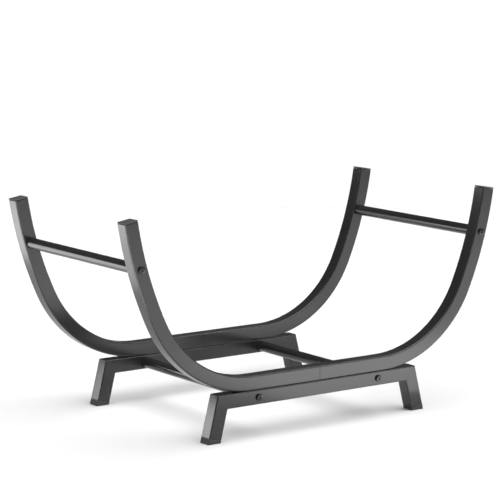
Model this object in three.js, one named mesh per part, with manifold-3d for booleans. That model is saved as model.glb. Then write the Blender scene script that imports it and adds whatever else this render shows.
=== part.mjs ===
// Firewood log rack: two bent square-tube cradles on splayed bases, joined by four round bars.
// Millimetres, +Z up. The origin is on the floor under the middle of the rack, -Y is the front.

import * as THREE from 'three';
import { mergeVertices } from 'three/addons/utils/BufferGeometryUtils.js';
import Module from 'manifold-3d';

const wasm = await Module();
wasm.setup();

// Clearances
const FIT_GAP = 0.3; // between any two pieces that touch
const BOLT_CLEARANCE = 0.3; // around a bolt shank in its hole

// Square tube of the cradles and bases
const TUBE_SIZE = 25;
const TUBE_WALL = 1.5;
const TUBE_CORNER_RADIUS = 2;

// Overall spread of the rack
const FRAME_SPACING = 350; // between the middle planes of the front and rear frames

// Base: a beam with two splayed legs
const BASE_LENGTH = 421; // over the top corners of the beam
const BASE_HEIGHT = 80.5; // floor to the top of the beam
const LEG_SPLAY = THREE.MathUtils.degToRad(14.3); // from vertical
const FOOT_HEEL = 4.5; // height of a foot cap along the inner face of its leg

// Cradle centre line, from the seam in the middle out to the tip of one arm
const SEAT_LENGTH = 277; // flat stretch on the base, both halves together
const LOWER_BEND_RADIUS = 204.5;
const LOWER_BEND_ANGLE = THREE.MathUtils.degToRad(65.2);
const UPPER_BEND_RADIUS = 650;
const UPPER_BEND_ANGLE = THREE.MathUtils.degToRad(15.4);
const TIP_LENGTH = 3;
const LOWER_BEND_STEPS = 20;
const UPPER_BEND_STEPS = 6;

// Splice between the two halves of a cradle
const SLEEVE_LENGTH = 150;
const SLEEVE_WALL = 2;
const SLEEVE_CORNER_RADIUS = 1;

// Round bars from the front frame to the rear frame
const BAR_DIAMETER = 19;
const BAR_WALL = 1.2;
const UPPER_BAR_DROP = 78; // along the arm, from its cut end down to the bar
const LOWER_BAR_SPACING = 255; // between the two bars of the bases

// Threaded inserts in the ends of the bars
const INSERT_LENGTH = 14;
const INSERT_RECESS = 0.5;

// Low round-head bolts with a hexagon socket
const BOLT_DIAMETER = 6;
const BOLT_HEAD_DIAMETER = 11.5;
const BOLT_HEAD_HEIGHT = 3.3;
const BOLT_HEAD_RIM = 2.1;
const BOLT_CHAMFER = 0.6;
const SOCKET_ACROSS_FLATS = 4;
const SOCKET_DEPTH = 2;
const BAR_BOLT_REACH = 11; // into the insert
const CRADLE_BOLT_SPACING = 100; // between the two bolts under one cradle
const CRADLE_BOLT_PROTRUSION = 1.5; // above its nut
const ACCESS_HOLE_DIAMETER = 13; // under each cradle bolt, for its head and its key

// Hexagon nuts inside the sleeves
const NUT_ACROSS_FLATS = 10;
const NUT_HEIGHT = 5;

// Plastic caps
const CAP_OVERHANG = 0.2; // past the tube on each side
const END_CAP_THICKNESS = 3;
const END_CAP_CROWN = 1.2;
const PLUG_LENGTH = 14;
const PLUG_CORE_INSET = 2; // of the plug's core inside its fins
const PLUG_FINS = 3;
const PLUG_FIN_THICKNESS = 1.4;

const ROUND_SIDES = 24;
const BORE_SIDES = 16;
const BOLT_SIDES = 16;
const CORNER_STEPS = 1;
const MERGE_DISTANCE = 1e-4;

// Sizes that follow from the ones above
const HALF_TUBE = TUBE_SIZE / 2;
const TUBE_BORE = TUBE_SIZE - 2 * TUBE_WALL;
const BEAM_AXIS_HEIGHT = BASE_HEIGHT - HALF_TUBE;
const CRADLE_AXIS_HEIGHT = BASE_HEIGHT + FIT_GAP + HALF_TUBE;
const BOLT_HOLE_RADIUS = BOLT_DIAMETER / 2 + BOLT_CLEARANCE;
const BAR_LENGTH = FRAME_SPACING - TUBE_SIZE - 2 * FIT_GAP;
const SLEEVE_SIZE = TUBE_BORE - 2 * FIT_GAP;

const paint = new THREE.MeshStandardMaterial({ color: 0x55575a, roughness: 0.5, metalness: 0.35 });
const barPaint = new THREE.MeshStandardMaterial({ color: 0x3c3d40, roughness: 0.4, metalness: 0.4 });
const blackBolt = new THREE.MeshStandardMaterial({ color: 0x2f3032, roughness: 0.45, metalness: 0.8 });
const zinc = new THREE.MeshStandardMaterial({ color: 0xb9bcc0, roughness: 0.35, metalness: 1 });
const plastic = new THREE.MeshStandardMaterial({ color: 0x3a3c3d, roughness: 0.65, metalness: 0 });

/** Centre line of one cradle half in the XZ plane, from the seam to the tip of the arm. */
class CradlePath extends THREE.Curve {
  constructor() {
    super();
    this.stretches = [
      { length: SEAT_LENGTH / 2 - FIT_GAP / 2, turn: 0, steps: 1 },
      { length: LOWER_BEND_RADIUS * LOWER_BEND_ANGLE, turn: LOWER_BEND_ANGLE, steps: LOWER_BEND_STEPS },
      { length: UPPER_BEND_RADIUS * UPPER_BEND_ANGLE, turn: UPPER_BEND_ANGLE, steps: UPPER_BEND_STEPS },
      { length: TIP_LENGTH, turn: 0, steps: 1 },
    ];
    let start = new THREE.Vector3(FIT_GAP / 2, 0, 0);
    let heading = 0;
    for (const stretch of this.stretches) {
      stretch.start = start;
      stretch.heading = heading;
      start = this.pointOn(stretch, 1);
      heading += stretch.turn;
    }
    this.steps = this.stretches.reduce((sum, stretch) => sum + stretch.steps, 0);
    this.length = this.stretches.reduce((sum, stretch) => sum + stretch.length, 0);
  }

  pointOn(stretch, share) {
    const { start, heading, length, turn } = stretch;
    const halfTurn = (turn * share) / 2;
    const chord = turn === 0 ? length * share : ((2 * length) / turn) * Math.sin(halfTurn);
    const direction = heading + halfTurn;
    const step = new THREE.Vector3(Math.cos(direction), 0, Math.sin(direction));
    return start.clone().addScaledVector(step, chord);
  }

  /** The stretch that holds t, and how far along it t is. */
  locate(t) {
    let stepsLeft = t * this.steps;
    for (const stretch of this.stretches) {
      if (stepsLeft <= stretch.steps || stretch === this.stretches.at(-1)) {
        return { stretch, share: Math.min(stepsLeft / stretch.steps, 1) };
      }
      stepsLeft -= stretch.steps;
    }
    return undefined;
  }

  getPoint(t) {
    const { stretch, share } = this.locate(t);
    return this.pointOn(stretch, share);
  }

  getTangent(t) {
    const { stretch, share } = this.locate(t);
    const direction = stretch.heading + stretch.turn * share;
    return new THREE.Vector3(Math.cos(direction), 0, Math.sin(direction));
  }

  /** Equal steps of t, so that a ring of vertices falls on every joint between two stretches. */
  getUtoTmapping(u) {
    return u;
  }

  /** Point and direction at a distance back from the tip, measured along the centre line. */
  fromTip(distance) {
    let left = this.length - distance;
    for (const stretch of this.stretches) {
      if (left <= stretch.length) {
        const share = left / stretch.length;
        return { point: this.pointOn(stretch, share), heading: stretch.heading + stretch.turn * share };
      }
      left -= stretch.length;
    }
    return undefined;
  }
}

const cradlePath = new CradlePath();

/** A closed three.js geometry as a manifold solid. */
function toSolid(geometry) {
  const bare = geometry.clone();
  bare.deleteAttribute('normal');
  bare.deleteAttribute('uv');
  const merged = mergeVertices(bare, MERGE_DISTANCE);
  return new wasm.Manifold(new wasm.Mesh({
    numProp: 3,
    vertProperties: Float32Array.from(merged.attributes.position.array),
    triVerts: Uint32Array.from(merged.index.array),
  }));
}

/** A manifold solid as a three.js geometry. */
function toGeometry(solid) {
  const mesh = solid.getMesh();
  const geometry = new THREE.BufferGeometry();
  geometry.setAttribute('position', new THREE.BufferAttribute(mesh.vertProperties, 3));
  geometry.setIndex(new THREE.BufferAttribute(mesh.triVerts, 1));
  geometry.computeVertexNormals();
  return geometry;
}

function cut(geometry, tools) {
  return toGeometry(tools.reduce((solid, tool) => solid.subtract(toSolid(tool)), toSolid(geometry)));
}

function join(geometries) {
  return toGeometry(geometries.map(toSolid).reduce((whole, piece) => whole.add(piece)));
}

function roundedSquare(size, radius) {
  const inset = size / 2 - radius;
  const quarter = Math.PI / 2;
  const shape = new THREE.Shape();
  shape.absarc(inset, inset, radius, 0, quarter);
  shape.absarc(-inset, inset, radius, quarter, 2 * quarter);
  shape.absarc(-inset, -inset, radius, 2 * quarter, 3 * quarter);
  shape.absarc(inset, -inset, radius, 3 * quarter, 4 * quarter);
  shape.closePath();
  return shape;
}

function squareHole(size) {
  const half = size / 2;
  const corners = [[-half, -half], [-half, half], [half, half], [half, -half]];
  return new THREE.Path(corners.map(([x, y]) => new THREE.Vector2(x, y)));
}

function squareTubeSection(size, radius, wall) {
  const section = roundedSquare(size, radius);
  section.holes.push(squareHole(size - 2 * wall));
  return section;
}

/** A section extruded along +X, centred on X = 0. */
function extrudeAlongX(section, length) {
  const geometry = new THREE.ExtrudeGeometry(section, {
    depth: length,
    bevelEnabled: false,
    curveSegments: CORNER_STEPS,
  });
  return geometry.translate(0, 0, -length / 2).rotateY(Math.PI / 2);
}

/** A round cutter along Y or Z. */
function drill(axis, radius, length, x, y, z) {
  const geometry = new THREE.CylinderGeometry(radius, radius, length, BORE_SIDES);
  if (axis === 'z') geometry.rotateX(Math.PI / 2);
  return geometry.translate(x, y, z);
}

/** Half-space cutter on one side of the mitre plane through the outer top corner of a base. */
function mitreCutter(removesLeg) {
  const size = 2 * BASE_HEIGHT;
  const shift = ((removesLeg ? 1 : -1) * (size - FIT_GAP)) / 2;
  const mitreAngle = (Math.PI / 2 - LEG_SPLAY) / 2;
  return new THREE.BoxGeometry(size, 2 * TUBE_SIZE, size)
    .translate(shift, 0, 0)
    .rotateY(mitreAngle)
    .translate(BASE_LENGTH / 2, 0, BASE_HEIGHT);
}

/** Right-hand cradle half; turned about Z it is the left-hand one. */
function cradleHalf() {
  const tube = new THREE.ExtrudeGeometry(
    squareTubeSection(TUBE_SIZE, TUBE_CORNER_RADIUS, TUBE_WALL),
    { steps: cradlePath.steps, extrudePath: cradlePath, curveSegments: CORNER_STEPS },
  );
  const bar = cradlePath.fromTip(UPPER_BAR_DROP).point;
  const barHole = drill('y', BOLT_HOLE_RADIUS, 2 * TUBE_SIZE, bar.x, 0, bar.z);
  const seatHole = drill('z', BOLT_HOLE_RADIUS, HALF_TUBE, CRADLE_BOLT_SPACING / 2, 0, -HALF_TUBE);
  return cut(tube, [barHole, seatHole]);
}

function spliceSleeve() {
  const section = squareTubeSection(SLEEVE_SIZE, SLEEVE_CORNER_RADIUS, SLEEVE_WALL);
  const holes = [-1, 1].map((side) =>
    drill('z', BOLT_HOLE_RADIUS, HALF_TUBE, (side * CRADLE_BOLT_SPACING) / 2, 0, -HALF_TUBE));
  return cut(extrudeAlongX(section, SLEEVE_LENGTH), holes);
}

function baseBeam() {
  const section = squareTubeSection(TUBE_SIZE, TUBE_CORNER_RADIUS, TUBE_WALL);
  const beam = extrudeAlongX(section, BASE_LENGTH + TUBE_SIZE).translate(0, 0, BEAM_AXIS_HEIGHT);
  const tools = [mitreCutter(true), mitreCutter(true).rotateZ(Math.PI)];
  for (const side of [-1, 1]) {
    const barX = (side * LOWER_BAR_SPACING) / 2;
    const boltX = (side * CRADLE_BOLT_SPACING) / 2;
    tools.push(drill('y', BOLT_HOLE_RADIUS, 2 * TUBE_SIZE, barX, 0, BEAM_AXIS_HEIGHT));
    tools.push(drill('z', BOLT_HOLE_RADIUS, TUBE_SIZE, boltX, 0, BASE_HEIGHT));
    tools.push(drill('z', ACCESS_HOLE_DIAMETER / 2, TUBE_SIZE, boltX, 0, BASE_HEIGHT - TUBE_SIZE));
  }
  return cut(beam, tools);
}

/** Distance along a leg from the top corner to the floor, on its inner face. */
const legInnerReach = (BASE_HEIGHT - TUBE_SIZE * Math.sin(LEG_SPLAY)) / Math.cos(LEG_SPLAY);
const legLength = legInnerReach - FOOT_HEEL;

/** Puts a geometry made along -Z, with its outer face on X = 0, on the right-hand leg line. */
function ontoLeg(geometry) {
  return geometry
    .translate(-HALF_TUBE, 0, 0)
    .rotateY(-LEG_SPLAY)
    .translate(BASE_LENGTH / 2, 0, BASE_HEIGHT);
}

function leg() {
  const section = squareTubeSection(TUBE_SIZE, TUBE_CORNER_RADIUS, TUBE_WALL);
  const tube = extrudeAlongX(section, legLength + TUBE_SIZE)
    .rotateY(Math.PI / 2)
    .translate(0, 0, (TUBE_SIZE - legLength) / 2);
  return cut(ontoLeg(tube), [mitreCutter(false)]);
}

/** Finned plug that grips inside a tube, from Z = 0 up to its length. */
function plugParts() {
  const finSize = TUBE_BORE - 2 * FIT_GAP;
  const coreSize = finSize - 2 * PLUG_CORE_INSET;
  const core = new THREE.BoxGeometry(coreSize, coreSize, PLUG_LENGTH).translate(0, 0, PLUG_LENGTH / 2);
  const parts = [core];
  for (let fin = 1; fin <= PLUG_FINS; fin += 1) {
    const height = (fin * PLUG_LENGTH) / (PLUG_FINS + 0.5);
    parts.push(new THREE.BoxGeometry(finSize, finSize, PLUG_FIN_THICKNESS).translate(0, 0, height));
  }
  return parts;
}

/** Foot cap on the right-hand leg: its sole lies flat on the floor, its rim is square to the leg. */
function footCap() {
  const size = TUBE_SIZE + 2 * CAP_OVERHANG;
  const depth = 2 * TUBE_SIZE;
  const rim = new THREE.ExtrudeGeometry(roundedSquare(size, TUBE_CORNER_RADIUS), {
    depth,
    bevelEnabled: false,
    curveSegments: CORNER_STEPS,
  }).translate(0, 0, -depth - legLength - FIT_GAP);
  const plug = plugParts().map((part) => part.translate(0, 0, -legLength - 2 * FIT_GAP));
  const cap = join([rim, ...plug].map(ontoLeg));
  const belowFloor = new THREE.BoxGeometry(BASE_LENGTH * 2, 4 * TUBE_SIZE, 4 * TUBE_SIZE)
    .translate(0, 0, -2 * TUBE_SIZE);
  return cut(cap, [belowFloor]);
}

/** Cap in the tip of the right-hand arm. */
function endCap() {
  const size = TUBE_SIZE + 2 * CAP_OVERHANG;
  const crownRadius = TUBE_CORNER_RADIUS + CAP_OVERHANG - END_CAP_CROWN;
  const rim = new THREE.ExtrudeGeometry(roundedSquare(size - 2 * END_CAP_CROWN, crownRadius), {
    depth: END_CAP_THICKNESS - END_CAP_CROWN,
    bevelEnabled: true,
    bevelSize: END_CAP_CROWN,
    bevelThickness: END_CAP_CROWN,
    bevelSegments: 2,
    curveSegments: CORNER_STEPS,
  });
  const underside = new THREE.BoxGeometry(2 * size, 2 * size, size).translate(0, 0, -size / 2);
  const plug = plugParts().map((part) => part.rotateX(Math.PI).translate(0, 0, FIT_GAP));
  const tip = cradlePath.fromTip(0);
  return join([cut(rim, [underside]), ...plug])
    .translate(0, 0, FIT_GAP)
    .rotateY(Math.PI / 2 - tip.heading)
    .translate(tip.point.x, 0, tip.point.z);
}

function roundBar() {
  const section = new THREE.Shape();
  section.absarc(0, 0, BAR_DIAMETER / 2, 0, 2 * Math.PI);
  const bore = new THREE.Path();
  bore.absarc(0, 0, BAR_DIAMETER / 2 - BAR_WALL, 0, 2 * Math.PI, true);
  section.holes.push(bore);
  return new THREE.ExtrudeGeometry(section, {
    depth: BAR_LENGTH,
    bevelEnabled: false,
    curveSegments: ROUND_SIDES / 2,
  }).translate(0, 0, -BAR_LENGTH / 2).rotateX(Math.PI / 2);
}

/** Threaded insert for the front end of a bar. */
function barInsert() {
  const radius = BAR_DIAMETER / 2 - BAR_WALL - FIT_GAP;
  const middle = -BAR_LENGTH / 2 + INSERT_RECESS + INSERT_LENGTH / 2;
  const plug = new THREE.CylinderGeometry(radius, radius, INSERT_LENGTH, BORE_SIDES)
    .translate(0, middle, 0);
  return cut(plug, [drill('y', BOLT_HOLE_RADIUS, 2 * INSERT_LENGTH, 0, middle, 0)]);
}

/** Bolt along +Y: its head's underside is at Y = 0 and its shank points to +Y. */
function bolt(shankLength) {
  const headRadius = BOLT_HEAD_DIAMETER / 2;
  const shankRadius = BOLT_DIAMETER / 2;
  const crown = new THREE.QuadraticBezierCurve(
    new THREE.Vector2(SOCKET_ACROSS_FLATS * 0.75, -BOLT_HEAD_HEIGHT),
    new THREE.Vector2(headRadius * 0.9, -BOLT_HEAD_HEIGHT * 0.92),
    new THREE.Vector2(headRadius, -BOLT_HEAD_RIM),
  ).getPoints(3);
  const profile = [
    new THREE.Vector2(0, -BOLT_HEAD_HEIGHT),
    ...crown,
    new THREE.Vector2(headRadius, 0),
    new THREE.Vector2(shankRadius, 0),
    new THREE.Vector2(shankRadius, shankLength - BOLT_CHAMFER),
    new THREE.Vector2(shankRadius - BOLT_CHAMFER, shankLength),
    new THREE.Vector2(0, shankLength),
  ];
  const body = new THREE.LatheGeometry(profile, BOLT_SIDES);
  const socketRadius = SOCKET_ACROSS_FLATS / Math.sqrt(3);
  const socket = new THREE.CylinderGeometry(socketRadius, socketRadius, 2 * SOCKET_DEPTH, 6)
    .translate(0, -BOLT_HEAD_HEIGHT, 0);
  return cut(body, [socket]);
}

function hexNut() {
  const nut = new THREE.CylinderGeometry(
    NUT_ACROSS_FLATS / Math.sqrt(3),
    NUT_ACROSS_FLATS / Math.sqrt(3),
    NUT_HEIGHT,
    6,
  ).rotateX(Math.PI / 2);
  return cut(nut, [drill('z', BOLT_HOLE_RADIUS, 2 * NUT_HEIGHT, 0, 0, 0)]);
}

function addPiece(parent, name, geometry, material, x = 0, y = 0, z = 0, turn = 0) {
  const mesh = new THREE.Mesh(geometry, material.clone());
  mesh.name = name;
  mesh.position.set(x, y, z);
  mesh.rotation.z = turn;
  parent.add(mesh);
}

const barBoltGeometry = bolt(TUBE_SIZE + FIT_GAP + INSERT_RECESS + BAR_BOLT_REACH);
const nutSeatHeight = CRADLE_AXIS_HEIGHT - SLEEVE_SIZE / 2 + SLEEVE_WALL + FIT_GAP;
const cradleBoltSeat = BASE_HEIGHT - TUBE_WALL - FIT_GAP;
const cradleBoltGeometry = bolt(nutSeatHeight + NUT_HEIGHT + CRADLE_BOLT_PROTRUSION - cradleBoltSeat)
  .rotateX(Math.PI / 2);
const halfGeometry = cradleHalf();
const sleeveGeometry = spliceSleeve();
const beamGeometry = baseBeam();
const legGeometry = leg();
const footGeometry = footCap();
const endCapGeometry = endCap();
const nutGeometry = hexNut();
const barGeometry = roundBar();
const insertGeometry = barInsert();

const upperBarPoint = cradlePath.fromTip(UPPER_BAR_DROP).point;
const barRows = [
  { level: 'upper', x: upperBarPoint.x, z: CRADLE_AXIS_HEIGHT + upperBarPoint.z },
  { level: 'lower', x: LOWER_BAR_SPACING / 2, z: BEAM_AXIS_HEIGHT },
];
const sides = [{ side: 'left', sign: -1 }, { side: 'right', sign: 1 }];
const ends = [{ end: 'front', sign: -1 }, { end: 'rear', sign: 1 }];

/** One cradle on its base, at the front or at the rear. */
function frame({ end, sign: endSign }) {
  const group = new THREE.Group();
  group.position.y = (endSign * FRAME_SPACING) / 2;
  addPiece(group, `${end}_base_beam`, beamGeometry, paint);
  addPiece(group, `${end}_splice_sleeve`, sleeveGeometry, zinc, 0, 0, CRADLE_AXIS_HEIGHT);
  for (const { side, sign } of sides) {
    const turn = sign > 0 ? 0 : Math.PI;
    const boltX = (sign * CRADLE_BOLT_SPACING) / 2;
    const nutZ = nutSeatHeight + NUT_HEIGHT / 2;
    addPiece(group, `${end}_${side}_cradle_half`, halfGeometry, paint, 0, 0, CRADLE_AXIS_HEIGHT, turn);
    addPiece(group, `${end}_${side}_end_cap`, endCapGeometry, plastic, 0, 0, CRADLE_AXIS_HEIGHT, turn);
    addPiece(group, `${end}_${side}_leg`, legGeometry, paint, 0, 0, 0, turn);
    addPiece(group, `${end}_${side}_foot_cap`, footGeometry, plastic, 0, 0, 0, turn);
    addPiece(group, `${end}_${side}_cradle_bolt`, cradleBoltGeometry, blackBolt, boltX, 0, cradleBoltSeat);
    addPiece(group, `${end}_${side}_cradle_nut`, nutGeometry, zinc, boltX, 0, nutZ);
  }
  return group;
}

/** A round bar with its two inserts and its two bolts. */
function crossBar({ level, x, z }, { side, sign }) {
  const group = new THREE.Group();
  const name = `${level}_${side}_bar`;
  const headSeat = FRAME_SPACING / 2 + HALF_TUBE + FIT_GAP;
  group.position.set(sign * x, 0, z);
  addPiece(group, name, barGeometry, barPaint);
  for (const { end, sign: endSign } of ends) {
    const turn = endSign < 0 ? 0 : Math.PI;
    addPiece(group, `${name}_${end}_insert`, insertGeometry, zinc, 0, 0, 0, turn);
    addPiece(group, `${name}_${end}_bolt`, barBoltGeometry, blackBolt, 0, endSign * headSeat, 0, turn);
  }
  return group;
}

const rack = new THREE.Group();
rack.name = 'firewood_log_rack';
for (const end of ends) {
  rack.add(frame(end));
}
for (const row of barRows) {
  for (const side of sides) {
    rack.add(crossBar(row, side));
  }
}

export default rack;
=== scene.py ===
"""Firewood log rack: painted square-tube cradles and bases, round bars, bolts and moulded caps.

Every piece is made in metres, Z up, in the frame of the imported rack: the floor is Z = 0 and -Y is the
front. The sizes below are the workshop sizes of the rack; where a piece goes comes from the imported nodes.
"""

import enum
import logging
import math
from collections.abc import Callable, Iterable, Sequence
from dataclasses import dataclass, field, replace
from typing import Any

import bmesh
import bpy
from mathutils import Matrix, Quaternion, Vector


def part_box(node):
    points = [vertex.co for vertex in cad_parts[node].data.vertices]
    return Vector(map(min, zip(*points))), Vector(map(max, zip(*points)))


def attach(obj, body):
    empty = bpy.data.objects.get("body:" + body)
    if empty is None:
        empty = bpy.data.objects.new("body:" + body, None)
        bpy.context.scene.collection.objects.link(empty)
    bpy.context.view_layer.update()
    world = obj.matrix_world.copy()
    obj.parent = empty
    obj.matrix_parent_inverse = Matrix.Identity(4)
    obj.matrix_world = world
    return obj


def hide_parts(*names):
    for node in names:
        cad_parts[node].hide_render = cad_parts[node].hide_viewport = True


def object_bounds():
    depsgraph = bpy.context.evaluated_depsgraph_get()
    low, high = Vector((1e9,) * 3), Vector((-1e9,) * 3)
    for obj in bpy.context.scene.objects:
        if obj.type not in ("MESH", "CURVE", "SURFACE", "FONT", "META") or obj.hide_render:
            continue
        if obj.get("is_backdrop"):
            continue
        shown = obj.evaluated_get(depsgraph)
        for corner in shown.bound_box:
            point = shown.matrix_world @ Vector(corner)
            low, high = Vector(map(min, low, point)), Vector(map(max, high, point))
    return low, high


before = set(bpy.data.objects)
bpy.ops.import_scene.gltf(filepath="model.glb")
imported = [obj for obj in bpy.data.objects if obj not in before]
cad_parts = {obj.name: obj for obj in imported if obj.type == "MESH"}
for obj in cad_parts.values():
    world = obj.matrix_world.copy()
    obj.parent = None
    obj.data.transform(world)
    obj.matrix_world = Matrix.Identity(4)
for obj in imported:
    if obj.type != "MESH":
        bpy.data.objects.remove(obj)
CAD_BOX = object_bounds()
BODY = "root"
EDGE = "edge"  # point attribute: 1 along a formed or cut edge, 0 out on a flat
LOG = logging.getLogger("log_rack")

Colour = tuple[float, float, float]
Ring = list[Vector]
Stations = tuple[bpy.types.NodeSocket, bpy.types.NodeSocket, bpy.types.NodeSocket]  # points, run, cut ends


class Slot(enum.Enum):
    """Material slots of the record that the pieces made here use."""

    POWDER_COAT = "powder_coat"
    CAP_PLASTIC = "cap_plastic"
    BOLT_STEEL = "bolt_steel"


class End(enum.Enum):
    """The two frames of the rack, by their word in piece names."""

    FRONT = "front"
    REAR = "rear"


class Side(enum.Enum):
    """Left and right of the middle seam, by their word in piece names."""

    LEFT = "left"
    RIGHT = "right"


class Level(enum.Enum):
    """The two rows of round bars, by their word in piece names."""

    UPPER = "upper"
    LOWER = "lower"


class Graph:
    """A node tree with short calls that add nodes and link them."""

    def __init__(self, tree: bpy.types.NodeTree) -> None:
        """Takes the tree to fill."""
        self.tree = tree

    def add(self, kind: str, settings: dict[str, Any] | None = None, **inputs: Any) -> bpy.types.Node:
        """Adds a node.

        Args:
            kind: The node's Blender type.
            settings: Properties of the node, set before its inputs.
            inputs: Values or sockets by input name, with _ for a space, or i0, i1 for an input's place.

        Returns:
            The new node.
        """
        node = self.tree.nodes.new(kind)
        for name, value in (settings or {}).items():
            setattr(node, name, value)
        for name, value in inputs.items():
            self.feed(self.socket(node, name), value)
        return node

    @staticmethod
    def socket(node: bpy.types.Node, name: str) -> bpy.types.NodeSocket:
        """Finds an input.

        Args:
            node: The node to look on.
            name: The input's name with _ for a space, or i and its place.

        Returns:
            The first enabled input of that name.
        """
        if name[0] == "i" and name[1:].isdigit():
            return node.inputs[int(name[1:])]
        wanted = name.replace("_", " ").lower()
        return next(s for s in node.inputs if s.enabled and s.name.lower() == wanted)

    def feed(self, socket: bpy.types.NodeSocket, value: Any) -> None:
        """Links a socket to an input, or sets the input's own value.

        Args:
            socket: The input.
            value: The socket to link from, or a plain value.
        """
        if isinstance(value, bpy.types.NodeSocket):
            self.tree.links.new(value, socket)
        else:
            socket.default_value = value

    def math(self, operation: str, *terms: Any, clamp: bool = False) -> bpy.types.NodeSocket:
        """Adds one Math node.

        Args:
            operation: The node's operation, such as "ADD".
            terms: One to three numbers or sockets.
            clamp: Whether the result is held from 0 to 1.

        Returns:
            The result.
        """
        inputs = {f"i{place}": term for place, term in enumerate(terms)}
        return self.add("ShaderNodeMath", {"operation": operation, "use_clamp": clamp}, **inputs).outputs[0]

    def total(self, *terms: Any) -> bpy.types.NodeSocket:
        """Adds up two or more terms.

        Args:
            terms: Numbers or sockets.

        Returns:
            Their sum.
        """
        result = terms[0]
        for term in terms[1:]:
            result = self.math("ADD", result, term)
        return result

    def vector(self, x: Any = 0.0, y: Any = 0.0, z: Any = 0.0) -> bpy.types.NodeSocket:
        """A vector from three numbers or sockets."""
        return self.add("ShaderNodeCombineXYZ", i0=x, i1=y, i2=z).outputs[0]


@dataclass
class NodeShape:
    """A Geometry Nodes tree under construction, and the modifier that runs it."""

    name: str
    inputs: dict[str, tuple[str, Any]]
    tree: bpy.types.NodeTree = field(init=False)
    graph: Graph = field(init=False)
    source: bpy.types.Node = field(init=False)

    def __post_init__(self) -> None:
        """Makes the tree with its geometry sockets and its named inputs."""
        self.tree = bpy.data.node_groups.new(self.name, "GeometryNodeTree")
        self.tree.interface.new_socket(name="Geometry", in_out="INPUT", socket_type="NodeSocketGeometry")
        self.tree.interface.new_socket(name="Geometry", in_out="OUTPUT", socket_type="NodeSocketGeometry")
        for name, (kind, _) in self.inputs.items():
            self.tree.interface.new_socket(name=name, in_out="INPUT", socket_type=f"NodeSocket{kind}")
        self.graph = Graph(self.tree)
        self.source = self.tree.nodes.new("NodeGroupInput")

    def value(self, name: str) -> bpy.types.NodeSocket:
        """The tree's named input, to link from."""
        return self.source.outputs[name]

    def close(self, geometry: bpy.types.NodeSocket, material: bpy.types.NodeSocket) -> None:
        """Ends the tree in Realize Instances and Set Material.

        Args:
            geometry: What the tree has made.
            material: The finish it gets.
        """
        real = self.graph.add("GeometryNodeRealizeInstances", Geometry=geometry).outputs[0]
        dressed = self.graph.add("GeometryNodeSetMaterial", Geometry=real, Material=material)
        end = self.tree.nodes.new("NodeGroupOutput")
        self.tree.links.new(dressed.outputs[0], end.inputs[0])

    def run(
        self, start: bpy.types.Mesh, after: Callable[[bpy.types.Object], None] | None = None
    ) -> bpy.types.Mesh:
        """Runs the tree once and keeps the result as a plain mesh.

        Args:
            start: The mesh that the tree gets.
            after: Adds further modifiers behind the tree.

        Returns:
            The finished mesh.
        """
        holder = bpy.data.objects.new(self.name, start)
        bpy.context.scene.collection.objects.link(holder)
        modifier = holder.modifiers.new(self.name, "NODES")
        modifier.node_group = self.tree
        for item in self.tree.interface.items_tree:
            if item.item_type == "SOCKET" and item.in_out == "INPUT" and item.name in self.inputs:
                modifier[item.identifier] = self.inputs[item.name][1]
        if after:
            after(holder)
        return settled(holder)


def settled(holder: bpy.types.Object) -> bpy.types.Mesh:
    """Runs an object's modifiers and removes the object.

    Args:
        holder: The object, linked to the scene.

    Returns:
        The result as a plain mesh.
    """
    depsgraph = bpy.context.evaluated_depsgraph_get()
    mesh = bpy.data.meshes.new_from_object(holder.evaluated_get(depsgraph))
    bpy.data.objects.remove(holder)
    return mesh


def shade(mesh: bpy.types.Mesh, sharp_angle: float = math.radians(35)) -> None:
    """Shades a mesh smooth, with its corners kept sharp.

    Args:
        mesh: The mesh to shade.
        sharp_angle: The least angle between two faces that stays a sharp edge.
    """
    mesh.shade_smooth()
    mesh.set_sharp_from_angle(angle=sharp_angle)


def add_piece(
    name: str,
    mesh: bpy.types.Mesh,
    slot: Slot,
    stands_for: Sequence[str],
    material: bpy.types.Material | None = None,
) -> None:
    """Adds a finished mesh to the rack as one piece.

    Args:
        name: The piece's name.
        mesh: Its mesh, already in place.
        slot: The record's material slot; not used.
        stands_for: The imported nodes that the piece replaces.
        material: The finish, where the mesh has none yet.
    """
    mesh.name = name
    if material:
        mesh.materials.clear()
        mesh.materials.append(material)
    piece = bpy.data.objects.new(name, mesh)
    bpy.context.scene.collection.objects.link(piece)
    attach(piece, BODY)
    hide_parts(*stands_for)
    LOG.info("%s: %d faces, stands for %s", name, len(mesh.polygons), ", ".join(stands_for))


def circle(radius: float, sides: int) -> list[tuple[float, float]]:
    """Points of a circle about the origin.

    Args:
        radius: The circle's radius.
        sides: How many points it has.

    Returns:
        The points in order, anticlockwise.
    """
    turns = [2 * math.pi * side / sides for side in range(sides)]
    return [(radius * math.cos(turn), radius * math.sin(turn)) for turn in turns]


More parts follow.
